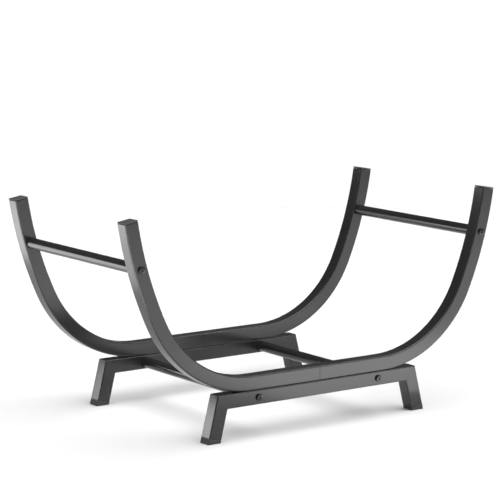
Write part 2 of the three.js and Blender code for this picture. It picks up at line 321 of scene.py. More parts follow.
class Skin:
    """Rings of points skinned into one closed mesh, with the edge attribute of each ring."""

    def __init__(self) -> None:
        """Starts an empty mesh."""
        self.bm = bmesh.new()
        self.edge = self.bm.verts.layers.float.new(EDGE)

    def ring(self, points: Iterable[Vector], edges: Iterable[float]) -> list[bmesh.types.BMVert]:
        """Adds one ring of points.

        Args:
            points: The points in order.
            edges: The edge value of each.

        Returns:
            The new vertices.
        """
        made = []
        for point, edge in zip(points, edges, strict=True):
            vert = self.bm.verts.new(point)
            vert[self.edge] = edge
            made.append(vert)
        return made

    def band(self, lower: list[bmesh.types.BMVert], upper: list[bmesh.types.BMVert]) -> None:
        """Joins two rings of the same count with quads.

        Args:
            lower: One ring.
            upper: The other.
        """
        for place, start in enumerate(lower):
            following = (place + 1) % len(lower)
            self.bm.faces.new((start, lower[following], upper[following], upper[place]))

    def skin(self, rings: Sequence[list[bmesh.types.BMVert]], closed: bool = False) -> None:
        """Joins rings in order.

        Args:
            rings: The rings.
            closed: True joins the last to the first, False fills both ends.
        """
        for lower, upper in zip(rings, rings[1:]):
            self.band(lower, upper)
        if closed:
            self.band(rings[-1], rings[0])
        else:
            self.bm.faces.new(reversed(rings[0]))
            self.bm.faces.new(rings[-1])

    def box(self, low: Vector, high: Vector, place: Matrix) -> None:
        """Adds a plain block.

        Args:
            low: Its lowest corner.
            high: Its highest corner.
            place: The matrix that moves it.
        """
        corners = [(low.x, low.y), (high.x, low.y), (high.x, high.y), (low.x, high.y)]
        rings = []
        for z in (low.z, high.z):
            rings.append(self.ring([place @ Vector((x, y, z)) for x, y in corners], [1.0] * 4))
        self.skin(rings)

    def mesh(self, name: str) -> bpy.types.Mesh:
        """Turns every face outwards and shades the result.

        Args:
            name: The mesh's name.

        Returns:
            The finished mesh.
        """
        bmesh.ops.recalc_face_normals(self.bm, faces=self.bm.faces)
        made = bpy.data.meshes.new(name)
        self.bm.to_mesh(made)
        self.bm.free()
        shade(made)
        return made


@dataclass(frozen=True)
class PowderCoat:
    """Satin powder coat: fine orange peel, faint mottle, edges rubbed a little thinner and smoother."""

    name: str = "satin_powder_coat"
    colour: Colour = (0.018, 0.0182, 0.0185)
    mottle: float = 0.12
    mottle_size: float = 0.055
    roughness: float = 0.21
    roughness_spread: float = 0.03
    peel_size: float = 0.0014
    peel_height: float = 0.000008
    worn_colour: Colour = (0.11, 0.112, 0.115)
    worn_smoothing: float = 0.1
    wear: float = 0.22
    wear_patch_size: float = 0.004
    wear_patches: tuple[float, float] = (0.42, 0.72)  # noise values where rubbed patches begin and are full

    def material(self) -> bpy.types.Material:
        """Makes the finish.

        Returns:
            A new node material.
        """
        made, graph, place = new_material(self.name)
        broad = noise(graph, place, self.mottle_size, detail=3.0)
        fine = noise(graph, place, self.wear_patch_size, detail=2.0)
        base = tint(graph, self.colour, self.mottle, broad)
        begin, full = self.wear_patches
        patchy = graph.add("ShaderNodeMapRange", Value=fine, From_Min=begin, From_Max=full).outputs[0]
        on_edges = graph.math("MULTIPLY", edge_value(graph), patchy)
        rubbed = graph.math("MULTIPLY", on_edges, self.wear, clamp=True)
        colour = mix_colour(graph, rubbed, base, self.worn_colour)
        smoothest = self.roughness - self.roughness_spread
        swing = graph.math("MULTIPLY_ADD", broad, 2 * self.roughness_spread, smoothest)
        rough = graph.math("MULTIPLY_ADD", rubbed, -self.worn_smoothing, swing, clamp=True)
        peel = noise(graph, place, self.peel_size, detail=1.0)
        normal = relief(graph, peel, self.peel_height)
        surface(graph, Base_Color=colour, Roughness=rough, Normal=normal)
        return made


@dataclass(frozen=True)
class MouldedPlastic:
    """Moulded plastic with a fine spark-eroded grain and slightly polished edges."""

    name: str = "moulded_cap"
    colour: Colour = (0.06, 0.066, 0.061)
    mottle: float = 0.15
    mottle_size: float = 0.012
    roughness: float = 0.64
    roughness_spread: float = 0.1
    gloss: float = 0.25
    grain_size: float = 0.0005
    grain_height: float = 0.00002
    edge_colour: Colour = (0.12, 0.125, 0.12)
    edge_share: float = 0.2
    edge_smoothing: float = 0.08

    def material(self) -> bpy.types.Material:
        """Makes the finish.

        Returns:
            A new node material.
        """
        made, graph, place = new_material(self.name)
        broad = noise(graph, place, self.mottle_size, detail=3.0)
        base = tint(graph, self.colour, self.mottle, broad)
        edge = edge_value(graph)
        colour = mix_colour(graph, graph.math("MULTIPLY", edge, self.edge_share), base, self.edge_colour)
        swing = graph.math("MULTIPLY_ADD", broad, self.roughness_spread, self.roughness)
        rough = graph.math("MULTIPLY_ADD", edge, -self.edge_smoothing, swing)
        cells = graph.add("ShaderNodeTexVoronoi", Vector=place, Scale=1 / self.grain_size)
        normal = relief(graph, cells.outputs["Distance"], self.grain_height)
        surface(graph, Base_Color=colour, Roughness=rough, Normal=normal, Specular_IOR_Level=self.gloss)
        return made


@dataclass(frozen=True)
class PlatedSteel:
    """Plated steel: fine drawn marks, cloudy roughness, and rubbed edges."""

    name: str
    colour: Colour
    rubbed_colour: Colour
    metallic: float
    roughness: float
    rubbed_share: float = 0.3
    cloud: float = 0.2
    cloud_size: float = 0.006
    roughness_spread: float = 0.08
    mark_size: float = 0.0006
    mark_height: float = 0.000006

    def material(self) -> bpy.types.Material:
        """Makes the finish.

        Returns:
            A new node material.
        """
        made, graph, place = new_material(self.name)
        cloud = noise(graph, place, self.cloud_size, detail=4.0)
        base = tint(graph, self.colour, self.cloud, cloud)
        rubbed = graph.math("MULTIPLY", edge_value(graph), self.rubbed_share)
        colour = mix_colour(graph, rubbed, base, self.rubbed_colour)
        smoothest = self.roughness - self.roughness_spread
        rough = graph.math("MULTIPLY_ADD", cloud, 2 * self.roughness_spread, smoothest)
        marks = noise(graph, place, self.mark_size, detail=2.0)
        normal = relief(graph, marks, self.mark_height)
        surface(graph, Base_Color=colour, Metallic=self.metallic, Roughness=rough, Normal=normal)
        return made


def new_material(name: str) -> tuple[bpy.types.Material, Graph, bpy.types.NodeSocket]:
    """Starts a node material.

    Args:
        name: The material's name.

    Returns:
        The material, its empty graph, and the piece's own coordinates in metres.
    """
    made = bpy.data.materials.new(name)
    made.use_nodes = True
    made.node_tree.nodes.clear()
    graph = Graph(made.node_tree)
    return made, graph, graph.add("ShaderNodeTexCoord").outputs["Object"]


def noise(graph: Graph, place: bpy.types.NodeSocket, size: float, detail: float) -> bpy.types.NodeSocket:
    """Adds noise from 0 to 1.

    Args:
        graph: The material's nodes.
        place: The coordinates, in metres.
        size: About how large its features are.
        detail: How many finer layers it has.

    Returns:
        The noise value.
    """
    node = graph.add("ShaderNodeTexNoise", Vector=place, Scale=1 / size, Detail=detail, Roughness=0.55)
    return node.outputs["Fac"]


def edge_value(graph: Graph) -> bpy.types.NodeSocket:
    """The piece's edge attribute, from 0 on a flat to 1 on an edge."""
    return graph.add("ShaderNodeAttribute", {"attribute_name": EDGE}).outputs["Fac"]


def relief(graph: Graph, pattern: bpy.types.NodeSocket, height: float) -> bpy.types.NodeSocket:
    """Adds bump.

    Args:
        graph: The material's nodes.
        pattern: What it follows, from 0 to 1.
        height: How far it rises, in metres.

    Returns:
        The bumped normal.
    """
    return graph.add("ShaderNodeBump", Strength=1.0, Distance=height, Height=pattern).outputs[0]


def tint(
    graph: Graph, colour: Colour, spread: float, pattern: bpy.types.NodeSocket
) -> bpy.types.NodeSocket:
    """Makes a colour lighter and darker.

    Args:
        graph: The material's nodes.
        colour: The middle colour.
        spread: The share by which it swings.
        pattern: What the swing follows, from 0 to 1.

    Returns:
        The varied colour.
    """
    dark, light = (tuple(part * (1 + sign * spread) for part in colour) for sign in (-1, 1))
    return mix_colour(graph, pattern, dark, light)


def mix_colour(graph: Graph, share: Any, first: Any, second: Any) -> bpy.types.NodeSocket:
    """Mixes two colours.

    Args:
        graph: The material's nodes.
        share: How much there is of the second, as a number or a socket.
        first: A socket, or three linear values.
        second: The same.

    Returns:
        The mixed colour.
    """
    node = graph.add("ShaderNodeMix", {"data_type": "RGBA"}, Factor=share)
    for name, value in (("A", first), ("B", second)):
        graph.feed(graph.socket(node, name), (*value, 1.0) if isinstance(value, tuple) else value)
    return next(socket for socket in node.outputs if socket.enabled)


def surface(graph: Graph, **inputs: Any) -> None:
    """Ends a material in a Principled surface.

    Args:
        graph: The material's nodes.
        inputs: Values or sockets by input name, as for Graph.add.
    """
    shader = graph.add("ShaderNodeBsdfPrincipled", **inputs)
    graph.add("ShaderNodeOutputMaterial", Surface=shader.outputs[0])


@dataclass(frozen=True)
class SquareTube:
    """Cold-formed square tube."""

    size: float = 0.025
    corner: float = 0.002
    least_corner: float = 0.00025
    wall: float = 0.0015
    arc_steps: int = 5
    flat_margin: float = 0.0012

    def outline(self, inset: float = 0.0) -> tuple[list[tuple[float, float]], list[float]]:
        """Works out the tube's section.

        Args:
            inset: How far inside the outer face it runs.

        Returns:
            Points in order, and 1 for each point on a formed corner, 0 for each on a flat.
        """
        radius = max(self.corner - inset, self.least_corner)
        centre = self.size / 2 - inset - radius
        points, edges = [], []
        for quarter in range(4):
            turn = Matrix.Rotation(quarter * math.pi / 2, 2)
            arc = [math.pi / 2 * step / self.arc_steps for step in range(self.arc_steps + 1)]
            run = [(centre + radius, centre - self.flat_margin)]
            run += [(centre + radius * math.cos(a), centre + radius * math.sin(a)) for a in arc]
            run += [(centre - self.flat_margin, centre + radius)]
            points += [tuple(turn @ Vector(p)) for p in run]
            edges += [0.0, *[1.0] * len(arc), 0.0]
        return points, edges


@dataclass(frozen=True)
class Bend:
    """One bend of a tube: the radius of its centre line and how far it turns."""

    radius: float
    angle: float


@dataclass
class Cradle:
    """A bent cradle of two halves that meet at a seam over the base, with a moulded cap in each arm."""

    end: End
    tube: SquareTube = SquareTube()
    seam: float = 0.0006
    half_seat: float = 0.1385
    lower_bend: Bend = Bend(0.2045, math.radians(65.2))
    upper_bend: Bend = Bend(0.650, math.radians(15.4))
    tip: float = 0.003
    ring_spacing: float = 0.004
    eased_end: float = 0.0001

    @property
    def heading(self) -> float:
        """Slope of the arm at its cut end."""
        return self.lower_bend.angle + self.upper_bend.angle

    def axis_height(self) -> float:
        """Height of the centre line over the base."""
        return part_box(f"{self.end.value}_right_cradle_half")[0].z + self.tube.size / 2

    def cut_end(self) -> Vector:
        """Finds the middle of the right arm's cut end.

        Returns:
            The point, measured from the middle of the seat's centre line.
        """
        first, second = self.lower_bend, self.upper_bend
        x = self.half_seat + first.radius * math.sin(first.angle)
        z = first.radius * (1 - math.cos(first.angle))
        x += second.radius * (math.sin(self.heading) - math.sin(first.angle))
        z += second.radius * (math.cos(first.angle) - math.cos(self.heading))
        return Vector((x + self.tip * math.cos(self.heading), 0, z + self.tip * math.sin(self.heading)))

    def profile(self, shape: NodeShape) -> bpy.types.NodeSocket:
        """Draws the tube's section, with a point where each flat begins and ends.

        Args:
            shape: The tree to add it to.

        Returns:
            A closed curve that carries the edge attribute.
        """
        graph, steps = shape.graph, shape.value("Corner Steps")
        per_quarter = graph.total(steps, 3.0)
        count = graph.math("MULTIPLY", per_quarter, 4.0)
        outline = graph.add("GeometryNodeCurvePrimitiveCircle", Resolution=count).outputs[0]
        index = graph.add("GeometryNodeInputIndex").outputs[0]
        quarter = graph.math("FLOOR", graph.math("DIVIDE", index, per_quarter))
        place = graph.math("SUBTRACT", index, graph.math("MULTIPLY", quarter, per_quarter))
        along = graph.math("DIVIDE", graph.math("SUBTRACT", place, 1.0), steps, clamp=True)
        angle = graph.math("MULTIPLY", along, math.pi / 2)
        before = graph.math("SUBTRACT", 1.0, place, clamp=True)
        after = graph.math("SUBTRACT", place, graph.total(steps, 1.0), clamp=True)
        corner, margin = shape.value("Corner Radius"), shape.value("Flat Margin")
        centre = graph.math("SUBTRACT", graph.math("MULTIPLY", shape.value("Tube Size"), 0.5), corner)
        coordinates = []
        for operation, pulled in (("COSINE", after), ("SINE", before)):
            reach = graph.math("MULTIPLY_ADD", corner, graph.math(operation, angle), centre)
            coordinates.append(graph.math("SUBTRACT", reach, graph.math("MULTIPLY", pulled, margin)))
        turned = graph.add(
            "ShaderNodeVectorRotate",
            {"rotation_type": "Z_AXIS"},
            Vector=graph.vector(*coordinates),
            Angle=graph.math("MULTIPLY", quarter, math.pi / 2),
        ).outputs[0]
        marked = graph.add(
            "GeometryNodeStoreNamedAttribute",
            {"data_type": "FLOAT", "domain": "POINT"},
            Geometry=outline,
            Name=EDGE,
            Value=graph.math("SUBTRACT", graph.math("SUBTRACT", 1.0, before), after),
        ).outputs[0]
        return graph.add("GeometryNodeSetPosition", Geometry=marked, Position=turned).outputs[0]

    def stations(self, shape: NodeShape, length: bpy.types.NodeSocket) -> Stations:
        """Spreads points along the tube, with an extra one close to each cut end.

        Args:
            shape: The tree to add them to.
            length: Length of the centre line, from the middle of the seat.

        Returns:
            The points as a curve, how far along each stands, and 1 for those at the cut ends.
        """
        graph = shape.graph
        ease = shape.value("Eased End")
        start = graph.math("MULTIPLY", shape.value("Seam"), 0.5)
        inner = graph.math("CEIL", graph.math("DIVIDE", length, shape.value("Ring Spacing")))
        line = graph.add("GeometryNodeCurvePrimitiveLine").outputs[0]
        count = graph.total(inner, 2.0)
        points = graph.add("GeometryNodeResampleCurve", {"mode": "COUNT"}, Curve=line, Count=count).outputs[0]
        before = graph.math("SUBTRACT", graph.add("GeometryNodeInputIndex").outputs[0], 1.0)
        whole = graph.math("SUBTRACT", length, start)
        between = graph.math("SUBTRACT", whole, graph.math("MULTIPLY", ease, 2.0))
        step = graph.math("DIVIDE", between, graph.math("SUBTRACT", inner, 1.0))
        free = graph.math("MULTIPLY_ADD", before, step, graph.total(start, ease))
        run = graph.math("MINIMUM", graph.math("MAXIMUM", free, start), length)
        first = graph.math("MULTIPLY", before, -1.0, clamp=True)
        last = graph.math("SUBTRACT", graph.total(before, 1.0), inner, clamp=True)
        return points, run, graph.total(first, last)

    def path(self, shape: NodeShape) -> bpy.types.NodeSocket:
        """Draws the centre line of the right-hand half: seat, lower bend, slack upper bend and tip.

        Args:
            shape: The tree to add it to.

        Returns:
            A curve whose radius shrinks a little at both cut ends.
        """
        graph, value = shape.graph, shape.value
        lower_length = graph.math("MULTIPLY", value("Lower Radius"), value("Lower Angle"))
        upper_length = graph.math("MULTIPLY", value("Upper Radius"), value("Upper Angle"))
        upper_start = graph.total(value("Half Seat"), lower_length)
        tip_start = graph.total(upper_start, upper_length)
        points, run, at_end = self.stations(shape, graph.total(tip_start, value("Tip")))
        turned = []
        for bend_start, radius, limit in (
            (value("Half Seat"), value("Lower Radius"), value("Lower Angle")),
            (upper_start, value("Upper Radius"), value("Upper Angle")),
        ):
            angle = graph.math("DIVIDE", graph.math("SUBTRACT", run, bend_start), radius)
            turned.append(graph.math("MINIMUM", graph.math("MAXIMUM", angle, 0.0), limit))
        lower, heading = turned[0], graph.total(*turned)
        tip = graph.math("MAXIMUM", graph.math("SUBTRACT", run, tip_start), 0.0)
        lower_sine, lower_cosine = (graph.math(wave, lower) for wave in ("SINE", "COSINE"))
        sine, cosine = (graph.math(wave, heading) for wave in ("SINE", "COSINE"))
        x = graph.total(
            graph.math("MINIMUM", run, value("Half Seat")),
            graph.math("MULTIPLY", value("Lower Radius"), lower_sine),
            graph.math("MULTIPLY", value("Upper Radius"), graph.math("SUBTRACT", sine, lower_sine)),
            graph.math("MULTIPLY", tip, cosine),
        )
        z = graph.total(
            graph.math("MULTIPLY", value("Lower Radius"), graph.math("SUBTRACT", 1.0, lower_cosine)),
            graph.math("MULTIPLY", value("Upper Radius"), graph.math("SUBTRACT", lower_cosine, cosine)),
            graph.math("MULTIPLY", tip, sine),
        )
        place = graph.vector(x=x, z=z)
        bent = graph.add("GeometryNodeSetPosition", Geometry=points, Position=place).outputs[0]
        ease = graph.math("MULTIPLY", value("Eased End"), -2.0)
        shrink = graph.math("DIVIDE", ease, value("Tube Size"))
        radius = graph.math("MULTIPLY_ADD", at_end, shrink, 1.0)
        return graph.add("GeometryNodeSetCurveRadius", Curve=bent, Radius=radius).outputs[0]

    def add_wall(self, holder: bpy.types.Object) -> None:
        """Gives the swept skin the tube's wall, inwards, with closed rims.

        Args:
            holder: The object that carries the tree's modifier.
        """
        wall = holder.modifiers.new("wall", "SOLIDIFY")
        wall.thickness = self.tube.wall
        wall.offset = -1.0
        wall.use_even_offset = True

    def half(self, paint: bpy.types.Material) -> bpy.types.Mesh:
        """Sweeps the right-hand half, centred on Y = 0 with its centre line starting at Z = 0.

        Args:
            paint: Its finish.

        Returns:
            The half as a plain mesh.
        """
        shape = NodeShape("bent_tube", {
            "Seam": ("Float", self.seam),
            "Half Seat": ("Float", self.half_seat),
            "Lower Radius": ("Float", self.lower_bend.radius),
            "Lower Angle": ("Float", self.lower_bend.angle),
            "Upper Radius": ("Float", self.upper_bend.radius),
            "Upper Angle": ("Float", self.upper_bend.angle),
            "Tip": ("Float", self.tip),
            "Ring Spacing": ("Float", self.ring_spacing),
            "Eased End": ("Float", self.eased_end),
            "Tube Size": ("Float", self.tube.size),
            "Corner Radius": ("Float", self.tube.corner),
            "Corner Steps": ("Int", self.tube.arc_steps),
            "Flat Margin": ("Float", self.tube.flat_margin),
            "Paint": ("Material", paint),
        })
        curves = {"Curve": self.path(shape), "Profile_Curve": self.profile(shape)}
        swept = shape.graph.add("GeometryNodeCurveToMesh", **curves).outputs[0]
        shape.close(swept, shape.value("Paint"))
        mesh = shape.run(bpy.data.meshes.new("bent_tube"), after=self.add_wall)
        shade(mesh)
        return mesh

    def build(self, paint: bpy.types.Material, plastic: bpy.types.Material) -> None:
        """Adds both halves and both caps.

        Args:
            paint: Finish of the tube.
            plastic: Finish of the caps.
        """
        half = self.half(paint)
        height = self.axis_height()
        for side in Side:
            low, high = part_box(f"{self.end.value}_{side.value}_cradle_half")
            middle = Matrix.Translation((0, (low.y + high.y) / 2, height))
            turn = Matrix.Rotation(math.pi if side is Side.LEFT else 0.0, 4, "Z")
            mesh = half.copy()
            mesh.transform(middle @ turn)
            name = f"{self.end.value}_{side.value}_cradle"
            add_piece(f"{name}_tube", mesh, Slot.POWDER_COAT, [f"{name}_half"])
            lean = Matrix.Rotation(math.pi / 2 - self.heading, 4, "Y")
            cap = ArmCap(self.tube).mesh(middle @ turn @ Matrix.Translation(self.cut_end()) @ lean)
            node = f"{self.end.value}_{side.value}_end_cap"
            add_piece(f"{self.end.value}_{side.value}_arm_cap", cap, Slot.CAP_PLASTIC, [node], plastic)


@dataclass(frozen=True)
class CapPlug:
    """The finned part of a cap that grips inside a tube."""

    tube: SquareTube
    clearance: float = 0.0003
    length: float = 0.014
    core_inset: float = 0.002
    fins: int = 3
    fin: float = 0.0014

    def add(self, skin: Skin, place: Matrix) -> None:
        """Adds the plug, from Z = 0 up.

        Args:
            skin: The mesh to add it to.
            place: The matrix that moves it.
        """
        grip = self.tube.size / 2 - self.tube.wall - self.clearance
        core = grip - self.core_inset
        blocks = [(core, 0, self.length)]
        for number in range(1, self.fins + 1):
            middle = number * self.length / (self.fins + 0.5)
            blocks.append((grip, middle - self.fin / 2, middle + self.fin / 2))
        for reach, low, high in blocks:
            skin.box(Vector((-reach, -reach, low)), Vector((reach, reach, high)), place)


@dataclass(frozen=True)
class ArmCap:
    """Moulded cap in the tip of an arm: a low crown with a soft rim, over a finned plug."""

    tube: SquareTube
    overhang: float = 0.0002
    clearance: float = 0.0003
    # Height over the tube's cut end and inset of each ring, with its edge value.
    rings: tuple[tuple[float, float, float], ...] = (
        (0.0000, 0.0018, 0.0),
        (0.0004, 0.0014, 0.0),
        (0.0008, 0.0006, 0.0),
        (0.0011, 0.0001, 0.2),
        (0.0014, 0.0000, 0.3),
        (0.0018, 0.0000, 0.6),
        (0.0022, 0.0001, 1.0),
        (0.0025, 0.0004, 1.0),
        (0.00268, 0.0008, 0.6),
        (0.0028, 0.0014, 0.0),
        (0.00292, 0.0040, 0.0),
        (0.0030, 0.0085, 0.0),
    )

    def mesh(self, place: Matrix) -> bpy.types.Mesh:
        """Makes the cap, from the tube's cut end up.

        Args:
            place: The matrix that moves it.

        Returns:
            The cap's mesh.
        """
        skin = Skin()
        flange = replace(self.tube, size=self.tube.size + 2 * self.overhang)
        rings = []
        for height, inset, edge in self.rings:
            points, _ = flange.outline(inset)
            moved = [place @ Vector((x, y, self.clearance + height)) for x, y in points]
            rings.append(skin.ring(moved, [edge] * len(moved)))
        skin.skin(rings)
        CapPlug(self.tube).add(skin, place @ Matrix.Rotation(math.pi, 4, "X"))
        return skin.mesh("arm_cap")


@dataclass
class BaseFrame:
    """One base: a beam and two splayed legs, mitred and welded, with a foot cap on each leg."""

    end: End
    tube: SquareTube = SquareTube()
    splay: float = math.radians(14.3)
    foot_heel: float = 0.0045
    clearance: float = 0.0003
    eased_corner: float = 0.0007
    eased_steps: int = 3
    hole_radius: float = 0.0065
    hole_sides: int = 48
    middle: float = field(init=False)
    height: float = field(init=False)
    corner_x: float = field(init=False)

    def __post_init__(self) -> None:
        """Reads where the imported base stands."""
        low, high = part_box(f"{self.end.value}_base_beam")
        self.middle = (low.y + high.y) / 2
        self.height = high.z
        self.corner_x = high.x

    @property
    def leg_length(self) -> float:
        """Length of a leg's inner face, from the level of the outer corner to its cut end."""
        reach = (self.height - self.tube.size * math.sin(self.splay)) / math.cos(self.splay)
        return reach - self.foot_heel

    @property
    def down(self) -> Vector:
        """Direction of the right leg, from the beam to the floor."""
        return Vector((math.sin(self.splay), 0, -math.cos(self.splay)))

    def leg_point(self, distance: float) -> Vector:
        """Finds a point on the right leg's centre line.

        Args:
            distance: How far it lies along the leg, from the level of the outer corner.

        Returns:
            The point.
        """
        inward = Vector((-math.cos(self.splay), 0, -math.sin(self.splay))) * (self.tube.size / 2)
        return Vector((self.corner_x, self.middle, self.height)) + inward + self.down * distance

    def section(self, centre: Vector, along: Vector, cut: Vector, inset: float) -> tuple[Ring, list[float]]:
        """Works out the tube's section where a plane cuts it.

        Args:
            centre: A point on the tube's centre line and on the plane.
            along: The tube's direction, in the XZ plane.
            cut: The plane's normal.
            inset: How far inside the outer face the section runs.

        Returns:
            The section's points and their edge values.
        """
        points, edges = self.tube.outline(inset)
        across = Vector((0, 1, 0)).cross(along)
        ring = []
        for u, v in points:
            offset = across * u + Vector((0, v, 0))
            ring.append(centre + offset - along * (offset.dot(cut) / along.dot(cut)))
        return ring, edges

    def stations(self) -> list[tuple[Vector, Vector, Vector]]:
        """Lists where the frame is cut, from the left foot to the right foot.

        Returns:
            The centre, the tube's direction and the normal of the cut, for each section.
        """
        foot = self.leg_point(self.leg_length)
        half_turn = (math.pi / 2 - self.splay) / 2
        mitre_x = self.corner_x - self.tube.size / 2 * math.tan(half_turn)
        corner = Vector((mitre_x, self.middle, self.height - self.tube.size / 2))
        mitre = Vector((math.cos(half_turn), 0, -math.sin(half_turn)))
        right = [(corner, Vector((1, 0, 0)), mitre), (foot, self.down, self.down)]
        left = []
        for centre, along, cut in reversed(right):
            mirrored = Vector((-centre.x, centre.y, centre.z))
            left.append((mirrored, Vector((along.x, 0, -along.z)), Vector((cut.x, 0, -cut.z))))
        return left + right

    def tube_mesh(self) -> bpy.types.Mesh:
        """Makes both skins of the welded frame, joined round the cut ends of its legs.

        Returns:
            The frame's mesh, with eased corners and its holes.
        """
        skin = Skin()
        rings = []
        for inset in (0.0, self.tube.wall):
            skins = [skin.ring(*self.section(*station, inset)) for station in self.stations()]
            rings += skins if inset == 0.0 else reversed(skins)
        skin.skin(rings, closed=True)
        self.ease_corners(skin)
        return self.drilled(skin.mesh("base_frame"))

    def drilled(self, mesh: bpy.types.Mesh) -> bpy.types.Mesh:
        """Cuts the holes in the beam's lower wall through which the cradle bolts are reached.

        Args:
            mesh: The frame.

        Returns:
            The frame with its holes.
        """
        skin = Skin()
        bottom = self.height - self.tube.size
        for side in Side:
            low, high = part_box(f"{self.end.value}_{side.value}_cradle_bolt")
            middle = (low + high) / 2
            rings = []
            for z in (bottom - self.tube.wall, bottom + 2 * self.tube.wall):
                outline = circle(self.hole_radius, self.hole_sides)
                points = [Vector((middle.x + x, middle.y + y, z)) for x, y in outline]
                rings.append(skin.ring(points, [0.0] * len(points)))
            skin.skin(rings)
        cutter = bpy.data.objects.new("hole_cutter", skin.mesh("hole_cutter"))
        holder = bpy.data.objects.new("drilled_frame", mesh)
        for thing in (cutter, holder):
            bpy.context.scene.collection.objects.link(thing)
        holes = holder.modifiers.new("holes", "BOOLEAN")
        holes.operation, holes.solver, holes.object = "DIFFERENCE", "EXACT", cutter
        made = settled(holder)
        bpy.data.objects.remove(cutter)
        shade(made)
        return made

    def ease_corners(self, skin: Skin) -> None:
        """Rounds the mitred corners a little, as a ground weld leaves them.

        Args:
            skin: The frame's mesh.
        """
        skin.bm.normal_update()
        least_turn = math.radians(50)
        farthest = self.corner_x + self.tube.size / 8
        sharp = [edge for edge in skin.bm.edges if edge.calc_face_angle(0.0) > least_turn]
        corners = [edge for edge in sharp if abs(edge.verts[0].co.x) < farthest]
        bevel = bmesh.ops.bevel(
            skin.bm, geom=corners, offset=self.eased_corner, segments=self.eased_steps,
            profile=0.5, affect="EDGES", clamp_overlap=True,
        )
        for vert in bevel["verts"]:
            vert[skin.edge] = 1.0

    def foot_cap(self) -> bpy.types.Mesh:
        """Makes the right leg's foot cap: rim square to the leg, sole flat on the floor.

        Returns:
            The cap's mesh.
        """
        skin = Skin()
        skin.skin([skin.ring(*ring) for ring in FootCapShape(self).rings()])
        up = Matrix.Translation(self.leg_point(self.leg_length)) @ Matrix.Rotation(-self.splay, 4, "Y")
        CapPlug(self.tube).add(skin, up)
        return skin.mesh("foot_cap")

    def build(self, paint: bpy.types.Material, plastic: bpy.types.Material) -> None:
        """Adds the welded frame and both foot caps.

        Args:
            paint: Finish of the frame.
            plastic: Finish of the caps.
        """
        label = self.end.value
        nodes = [f"{label}_base_beam", f"{label}_left_leg", f"{label}_right_leg"]
        add_piece(f"{label}_base_frame", self.tube_mesh(), Slot.POWDER_COAT, nodes, paint)
        right_cap = self.foot_cap()
        about = Matrix.Translation((0, self.middle, 0))
        for side in Side:
            mesh = right_cap.copy()
            turn = Matrix.Rotation(math.pi if side is Side.LEFT else 0.0, 4, "Z")
            mesh.transform(about @ turn @ about.inverted())
            node = f"{label}_{side.value}_foot_cap"
            add_piece(f"{label}_{side.value}_foot", mesh, Slot.CAP_PLASTIC, [node], plastic)


@dataclass(frozen=True)
class FootCapShape:
    """Outside of a foot cap as rings, from its rim at the leg down to its sole."""

    base: BaseFrame
    overhang: float = 0.0002
    rim_round: float = 0.0004
    rim_depth: float = 0.0018
    sole_round: float = 0.0011
    sole_steps: int = 4

    def rings(self) -> Iterable[tuple[Ring, list[float]]]:
        """Works out the rings, from the rim to the sole.

        Returns:
            Each ring's points and edge values.
        """
        base = self.base
        tube = replace(base.tube, size=base.tube.size + 2 * self.overhang)
        shell = BaseFrame(base.end, tube=tube)
        rim = base.leg_point(base.leg_length + base.clearance)
        rim_levels = ((0.0, self.rim_round, 1.0), (self.rim_round, 0.0, 1.0), (self.rim_depth, 0.0, 0.0))
        for drop, inset, edge in rim_levels:
            points, _ = shell.section(rim + base.down * drop, base.down, base.down, inset)
            yield points, [edge] * len(points)
        floor = Vector((0, 0, 1))
        sole = rim + base.down * (rim.z / -base.down.z)
        levels = [(2 * self.sole_round, 0.0, 0.0)]
        for step in range(self.sole_steps + 1):
            turn = math.pi / 2 * step / self.sole_steps
            drop = self.sole_round * math.sin(turn)
            levels.append((self.sole_round - drop, self.sole_round * (1 - math.cos(turn)), 1.0))
        for height, inset, edge in levels:
            centre = sole - base.down * (height / -base.down.z)
            points, _ = shell.section(centre, base.down, floor, inset)
            yield points, [edge] * len(points)


@dataclass(frozen=True)
class CrossBar:
    """Round bar between the front and rear frames, with open, eased ends."""

    node: str
    wall: float = 0.0012
    sides: int = 48
    eased: float = 0.0004
    worn_end: float = 0.0016
    ring_spacing: float = 0.02

    def mesh(self) -> bpy.types.Mesh:
        """Makes the outer and inner skin of the bar, joined round both cut ends.

        Returns:
            The bar's mesh.
        """
        low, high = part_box(self.node)
        middle = (low + high) / 2
        radius = (high.x - low.x) / 2
        bore = radius - self.wall
        length = high.y - low.y
        count = math.ceil(length / self.ring_spacing)
        stations = [
            (low.y, radius - self.eased, 1.0),
            (low.y + self.eased, radius, 1.0),
            (low.y + self.worn_end, radius, 0.0),
            *[(low.y + length * step / count, radius, 0.0) for step in range(1, count)],
            (high.y - self.worn_end, radius, 0.0),
            (high.y - self.eased, radius, 1.0),
            (high.y, radius - self.eased, 1.0),
            (high.y, bore, 1.0),
            (low.y, bore, 1.0),
        ]
        skin = Skin()
        rings = []
        for y, size, edge in stations:
            points = [Vector((middle.x + x, y, middle.z + z)) for x, z in circle(size, self.sides)]
            rings.append(skin.ring(points, [edge] * self.sides))
        skin.skin(rings, closed=True)
        return skin.mesh(self.node)

    def build(self, paint: bpy.types.Material) -> None:
        """Adds the bar in its finish."""
        add_piece(f"{self.node}_tube", self.mesh(), Slot.POWDER_COAT, [self.node], paint)


